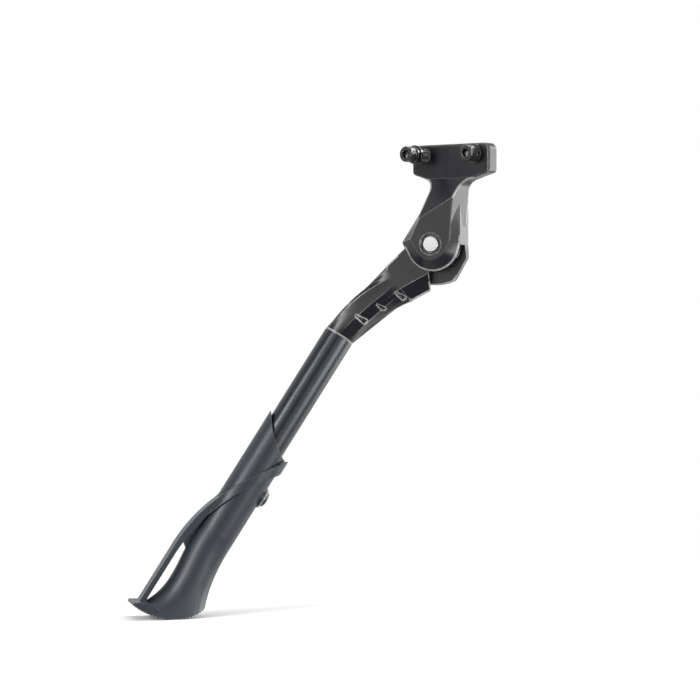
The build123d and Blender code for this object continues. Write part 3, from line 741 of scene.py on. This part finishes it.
@dataclass
class CapScrew:
    """A socket-head cap screw with a knurled head and a rolled thread."""

    node: Piece
    head_radius: float = 5.0 * MM
    head_height: float = 6.0 * MM
    head_chamfer: float = 0.5 * MM
    under_chamfer: float = 0.2 * MM
    socket_flats: float = 5.0 * MM
    socket_depth: float = 3.2 * MM
    socket_chamfer: float = 0.25 * MM
    drill_depth: float = 0.5 * MM
    drill_point: float = 0.02 * MM
    thread_radius: float = 3.0 * MM
    thread_depth: float = 0.55 * MM
    thread_pitch: float = 1.0 * MM
    tip_chamfer: float = 0.6 * MM
    knurl_count: int = 44
    knurl_depth: float = 0.16 * MM
    plain_band: float = 0.5 * MM
    knurl_start: float = 0.15 * MM
    knurl_end: float = 0.3 * MM
    crisp_angle: float = 28.0
    ring_points: int = 176
    thread_points: int = 32
    steps_a_pitch: int = 6

    def ring(self, mesh: bmesh.types.BMesh, radii: list[float], depth: float) -> Ring:
        """Add one closed ring of points round the screw.

        Args:
            mesh: the mesh to add to.
            radii: the radius at each point.
            depth: how far along the screw it lies, from the head's face.

        Returns:
            The ring's points.
        """
        step = math.tau / len(radii)
        return [
            mesh.verts.new((radius * math.cos(index * step), depth, radius * math.sin(index * step)))
            for index, radius in enumerate(radii)
        ]

    def knurl(self, index: int) -> float:
        """Radius of the head's knurled side at one point of its ring."""
        turn = index * self.knurl_count / self.ring_points
        return self.head_radius - self.knurl_depth * (0.5 + 0.5 * math.cos(math.tau * turn))

    def hexagon(self, index: int) -> float:
        """Radius of the hex socket at one point of its ring."""
        angle = (index / self.ring_points * math.tau) % (math.pi / 3) - math.pi / 6
        return self.socket_flats / 2 / math.cos(angle)

    def thread(self, index: int, along: float, length: float) -> float:
        """Work out the radius of the thread at one point.

        Args:
            index: the point of its ring.
            along: how far along the shank the ring lies, from the head.
            length: the shank's length.

        Returns:
            The radius.
        """
        phase = (along / self.thread_pitch + index / self.thread_points) % 1.0
        crest = abs(2 * phase - 1)
        radius = self.thread_radius - self.thread_depth * (1 - crest)
        return min(radius, self.thread_radius - max(0.0, along - length + self.tip_chamfer))

    def build_head(self, mesh: bmesh.types.BMesh) -> None:
        """Add the head: socket floor, socket wall, face, chamfer, knurled side and underside.

        Args:
            mesh: the mesh to add to.
        """
        count = self.ring_points
        socket = [self.hexagon(index) for index in range(count)]
        mouth = [radius + self.socket_chamfer for radius in socket]
        knurls = [self.knurl(index) for index in range(count)]
        band_end = self.head_chamfer + self.plain_band
        sections = [
            ([self.drill_point] * count, self.socket_depth + self.drill_depth),
            (socket, self.socket_depth),
            (socket, self.socket_chamfer),
            (mouth, 0.0),
            ([self.head_radius - self.head_chamfer] * count, 0.0),
            ([self.head_radius] * count, self.head_chamfer),
            ([self.head_radius] * count, band_end),
            (knurls, band_end + self.knurl_start),
            (knurls, self.head_height - self.knurl_end),
            ([self.head_radius - self.under_chamfer] * count, self.head_height),
            ([self.thread_radius - self.thread_depth] * count, self.head_height),
        ]
        rings = [self.ring(mesh, radii, depth) for radii, depth in sections]
        for first, second in zip(rings, rings[1:]):
            bridge(mesh, first, second)
        mesh.faces.new(list(reversed(rings[0])))

    def build_shank(self, mesh: bmesh.types.BMesh, length: float) -> None:
        """Add the threaded shank from the head's underside to the tip.

        Args:
            mesh: the mesh to add to.
            length: the shank's length.
        """
        count = int(length / self.thread_pitch * self.steps_a_pitch)
        rings = []
        for step in range(count + 1):
            along = length * step / count
            radii = [self.thread(index, along, length) for index in range(self.thread_points)]
            rings.append(self.ring(mesh, radii, self.head_height + along))
        for first, second in zip(rings, rings[1:]):
            bridge(mesh, first, second)
        mesh.faces.new(rings[-1])
        mesh.faces.new(list(reversed(rings[0])))

    def build(self, dresser: Dresser) -> None:
        """Build the screw where its solid stands, in place of it.

        Args:
            dresser: what puts the finish on.
        """
        low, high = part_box(self.node.value)
        mesh = bmesh.new()
        self.build_head(mesh)
        self.build_shank(mesh, high[1] - low[1] - self.head_height)
        middle = Vector(((low[0] + high[0]) / 2, low[1], (low[2] + high[2]) / 2))
        bmesh.ops.translate(mesh, verts=mesh.verts[:], vec=middle)
        screw = add_piece(self.node.value + "_threaded", mesh, self.crisp_angle)
        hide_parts(self.node.value)
        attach(screw, "bracket")
        dresser.dress(screw, BLACK_OXIDE)


@dataclass
class Bracket:
    """The casting with its pin, washers, detent and screws."""

    finishes: dict[Piece, Finish] = field(
        default_factory=lambda: {
            Piece.BRACKET: CASTING_PAINT,
            Piece.FRONT_FLAT_WASHER: BLACK_OXIDE,
            Piece.FRONT_SPRING_WASHER: BLACK_OXIDE,
            Piece.REAR_FLAT_WASHER: BLACK_OXIDE,
            Piece.REAR_SPRING_WASHER: BLACK_OXIDE,
            Piece.PIN: BRIGHT_PIN,
            Piece.OUTER_WASHER: BEARING_BRASS,
            Piece.INNER_WASHER: BEARING_BRASS,
            Piece.PLUNGER: PLAIN_STEEL,
            Piece.SPRING: PLAIN_STEEL,
        }
    )
    screws: tuple[Piece, ...] = (Piece.FRONT_SCREW, Piece.REAR_SCREW)

    def build(self, dresser: Dresser) -> None:
        """Dress the bracket's solids and put in the threaded screws.

        Args:
            dresser: what puts the finishes on.
        """
        dresser.dress_solids(self.finishes)
        for node in self.screws:
            CapScrew(node).build(dresser)


@dataclass
class SeamHighlightBead:
    """Thin bare-metal bead in the groove where the tube meets the arm, laid there to give the seam's bright
    line: a painted highlight.
    """

    radius: float = 9.74 * MM
    bead: float = 0.20 * MM
    along: float = 0.24 * MM
    reach: float = 0.05 * MM
    crisp_angle: float = 60.0
    turns: int = 180
    sides: int = 10

    def seam(self) -> Vector:
        """Find the middle of the tube's upper end, from the tube's own points.

        Returns:
            The place.
        """
        tube = cad(Piece.TUBE)
        points = [tube.matrix_world @ vertex.co for vertex in tube.data.vertices]
        top = min(point.dot(LEG_AXIS) for point in points)
        ring = [point for point in points if point.dot(LEG_AXIS) < top + self.reach]
        return sum(ring, Vector()) / len(ring)

    def build_bead(self, mesh: bmesh.types.BMesh) -> None:
        """Add the bead, as rings of points round its own middle line.

        Args:
            mesh: the mesh to add to.
        """
        first = LEG_AXIS.orthogonal().normalized()
        second = LEG_AXIS.cross(first).normalized()
        centre = self.seam() + LEG_AXIS * self.along
        rings = []
        for turn in range(self.turns):
            angle = math.tau * turn / self.turns
            outward = first * math.cos(angle) + second * math.sin(angle)
            middle = centre + outward * self.radius
            tilts = [math.tau * side / self.sides for side in range(self.sides)]
            offsets = [outward * math.cos(tilt) + LEG_AXIS * math.sin(tilt) for tilt in tilts]
            rings.append([mesh.verts.new(middle + offset * self.bead) for offset in offsets])
        for here, there in zip(rings, rings[1:] + rings[:1]):
            bridge(mesh, here, there)

    def build(self, dresser: Dresser) -> None:
        """Build the bead and let it ride on the leg.

        Args:
            dresser: what puts the finish on.
        """
        mesh = bmesh.new()
        self.build_bead(mesh)
        # The bead stands in for the highlight along the seam: a painted highlight.
        ring = add_piece("seam_highlight_bead", mesh, self.crisp_angle)
        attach(ring, "leg")
        dresser.dress(ring, SEAM_HIGHLIGHT_STEEL)


@dataclass
class Leg:
    """The forged arm and its tube."""

    finishes: dict[Piece, Finish] = field(
        default_factory=lambda: {Piece.ARM: ARM_PAINT, Piece.TUBE: BLACK_TUBE}
    )

    def build(self, dresser: Dresser) -> None:
        """Dress the arm and the tube, and lay the bead of painted highlight in their seam."""
        dresser.dress_solids(self.finishes)
        SeamHighlightBead().build(dresser)


@dataclass
class Foot:
    """The moulded foot with its length lock."""

    finishes: dict[Piece, Finish] = field(
        default_factory=lambda: {
            Piece.FOOT: FOOT_PLASTIC,
            Piece.LOCK_SCREW: ARM_PAINT,
            Piece.LOCK_INSERT: BEARING_BRASS,
        }
    )

    def build(self, dresser: Dresser) -> None:
        """Dress the moulding, its lock screw and the insert."""
        dresser.dress_solids(self.finishes)


@dataclass(frozen=True)
class View:
    """The camera's own directions."""

    right: Vector
    up: Vector
    back: Vector


@dataclass(frozen=True)
class Softbox:
    """One soft studio lamp, placed from the point that it is aimed at.

    Its place is given to the right, up and back as the camera sees it, and down the leg.
    """

    name: str
    size: Pair
    power: float
    right: float = 0.0
    up: float = 0.0
    back: float = 0.0
    down_leg: float = 0.0
    lie: Lie = Lie.UPRIGHT

    def turn(self, outward: Vector, view: View) -> Matrix:
        """Work out the turn that faces the lamp to its aim.

        Args:
            outward: direction from the aim to the lamp.
            view: the camera's directions.

        Returns:
            The turn, with the lamp's height along the way it lies.
        """
        lies = {Lie.UPRIGHT: Vector((0.0, 0.0, 1.0)), Lie.TO_CAMERA: view.back, Lie.DOWN_LEG: LEG_AXIS}
        across = lies[self.lie].cross(outward).normalized()
        return Matrix((across, outward.cross(across), outward)).transposed()

    def build(self, aim: Vector, view: View) -> None:
        """Add the lamp to the scene.

        Args:
            aim: the point that it is aimed at.
            view: the camera's directions.
        """
        offset = view.right * self.right + view.up * self.up + view.back * self.back
        offset += LEG_AXIS * self.down_leg
        lamp = bpy.data.lights.new(self.name, "AREA")
        lamp.shape = "RECTANGLE"
        lamp.size, lamp.size_y = self.size
        lamp.energy = self.power
        thing = bpy.data.objects.new(self.name, lamp)
        turn = self.turn(offset.normalized(), view)
        thing.matrix_world = Matrix.Translation(aim + offset) @ turn.to_4x4()
        thing.visible_camera = False
        bpy.context.scene.collection.objects.link(thing)


LAMPS = (
    Softbox("right wall", size=(0.9, 1.5), power=30.0, right=1.17, up=0.15, back=-0.43),
    Softbox("key bank", size=(0.6, 1.0), power=3.2, right=0.6, up=0.25, back=1.3),
    Softbox("left bank", size=(0.9, 1.2), power=4.6, right=-0.62, up=0.3, back=1.0),
    Softbox("top bank", size=(1.4, 1.0), power=12.0, up=1.5, back=0.1, lie=Lie.TO_CAMERA),
    Softbox(
        "foot strip",
        size=(0.3, 0.72),
        power=12.5,
        right=-0.815,
        up=0.54,
        back=0.75,
        down_leg=0.22,
        lie=Lie.DOWN_LEG,
    ),
    Softbox(
        "tube bank",
        size=(0.7, 0.5),
        power=10.0,
        right=0.935,
        up=-0.38,
        back=0.72,
        down_leg=-0.2,
        lie=Lie.DOWN_LEG,
    ),
)


@dataclass
class Studio:
    """White floor and backdrop, soft lamps and the camera of the photograph."""

    floor_radius: float = 0.55
    floor_clear: float = 0.14
    floor_fade_end: float = 0.98
    floor_sides: int = 64
    floor_middle: Pair = (-0.14, -0.125)
    floor_grey: float = 0.95
    floor_roughness: float = 0.8
    floor_specular: float = 0.1
    azimuth: float = 40.66
    elevation: float = 1.15
    distance: float = 1.6445
    focal_pixels: float = 2603.0
    image_pixels: float = 700.0
    sensor: float = 36.0
    clip: Pair = (0.01, 50.0)
    aim: Vector = field(default_factory=lambda: Vector((-0.060, -0.070, -0.150)))
    aim_right: float = 0.02215
    aim_up: float = 0.02611
    lamp_aim: Vector = field(default_factory=lambda: Vector((-0.07, -0.07, -0.14)))
    ambient: float = 0.24
    horizon: float = 0.3

    def view(self) -> View:
        """Work out the camera's directions.

        Returns:
            Its right, up and back directions.
        """
        turn, lift = math.radians(self.azimuth), math.radians(self.elevation)
        back = Vector((math.sin(turn) * math.cos(lift), -math.cos(turn) * math.cos(lift), math.sin(lift)))
        right = Vector((math.cos(turn), math.sin(turn), 0.0))
        return View(right, back.cross(right), back)

    def build_camera(self) -> None:
        """Set the camera at the photograph's angle."""
        view = self.view()
        data = bpy.data.cameras.new("photo camera")
        data.sensor_width = self.sensor
        data.lens = self.focal_pixels / self.image_pixels * self.sensor
        data.clip_start, data.clip_end = self.clip
        camera = bpy.data.objects.new("photo camera", data)
        target = self.aim + view.right * self.aim_right + view.up * self.aim_up
        turn = Matrix((view.right, view.up, view.back)).transposed()
        camera.matrix_world = Matrix.Translation(target + view.back * self.distance) @ turn.to_4x4()
        bpy.context.scene.collection.objects.link(camera)
        bpy.context.scene.camera = camera

    def build_world(self) -> None:
        """Show white behind the object, also in what it mirrors, and light it softly from elsewhere."""
        world = bpy.data.worlds.new("studio")
        bpy.context.scene.world = world
        world.use_nodes = True
        world.node_tree.nodes.clear()
        build = NodeTree(world.node_tree)
        path = build.add("ShaderNodeLightPath").outputs
        ray = build.add("ShaderNodeTexCoord").outputs["Generated"]
        forward = build.vector("DOT_PRODUCT", ray, self.view().back)
        behind = build.ramp(forward, -self.horizon, self.horizon, (1.0, 0.0))
        mirrored = build.math("MULTIPLY", path["Is Glossy Ray"], behind)
        shown = build.math("MAXIMUM", path["Is Camera Ray"], path["Is Transmission Ray"])
        shown = build.math("MAXIMUM", shown, mirrored)
        strength = build.ramp(shown, 0.0, 1.0, (self.ambient, 1.0))
        sky = build.add("ShaderNodeBackground", Color=(1.0, 1.0, 1.0, 1.0), Strength=strength)
        build.add("ShaderNodeOutputWorld", Surface=sky.outputs["Background"])

    def floor_material(self) -> bpy.types.Material:
        """Make the floor's white, which fades out towards its rim.

        Returns:
            The material.
        """
        material = bpy.data.materials.new("white floor")
        material.use_nodes = True
        material.node_tree.nodes.clear()
        build = NodeTree(material.node_tree)
        away = build.vector("LENGTH", build.spot())
        fade_end = self.floor_radius * self.floor_fade_end
        shader = build.add(
            "ShaderNodeBsdfPrincipled",
            Base_Color=(*[self.floor_grey] * 3, 1.0),
            Roughness=self.floor_roughness,
            Specular_IOR_Level=self.floor_specular,
            Alpha=build.ramp(away, self.floor_clear, fade_end, (1.0, 0.0)),
        )
        build.add("ShaderNodeOutputMaterial", Surface=shader.outputs["BSDF"])
        return material

    def build_floor(self, level: float) -> None:
        """Lay a round floor under the foot.

        Args:
            level: the height that the object stands at.
        """
        step = math.tau / self.floor_sides
        rim = [
            (self.floor_radius * math.cos(index * step), self.floor_radius * math.sin(index * step), 0.0)
            for index in range(self.floor_sides)
        ]
        data = bpy.data.meshes.new("floor")
        data.from_pydata(rim, [], [tuple(range(self.floor_sides))])
        data.materials.append(self.floor_material())
        floor = bpy.data.objects.new("floor", data)
        floor.location = (*self.floor_middle, level)
        floor.visible_shadow = False
        floor.visible_glossy = False
        bpy.context.scene.collection.objects.link(floor)
        floor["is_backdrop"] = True

    def build(self, level: float) -> None:
        """Build the camera, the world, the floor and the lamps.

        Args:
            level: the height that the object stands at.
        """
        self.build_camera()
        self.build_world()
        self.build_floor(level)
        for lamp in LAMPS:
            lamp.build(self.lamp_aim, self.view())
        bpy.context.scene.view_settings.view_transform = "Standard"


def main() -> None:
    """Build and dress the kickstand, then the studio."""
    logging.basicConfig(level=logging.INFO)
    cad_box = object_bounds()
    dresser = Dresser()
    Bracket().build(dresser)
    Leg().build(dresser)
    Foot().build(dresser)
    Studio().build(cad_box[0].z)


if __name__ == "__main__":
    main()
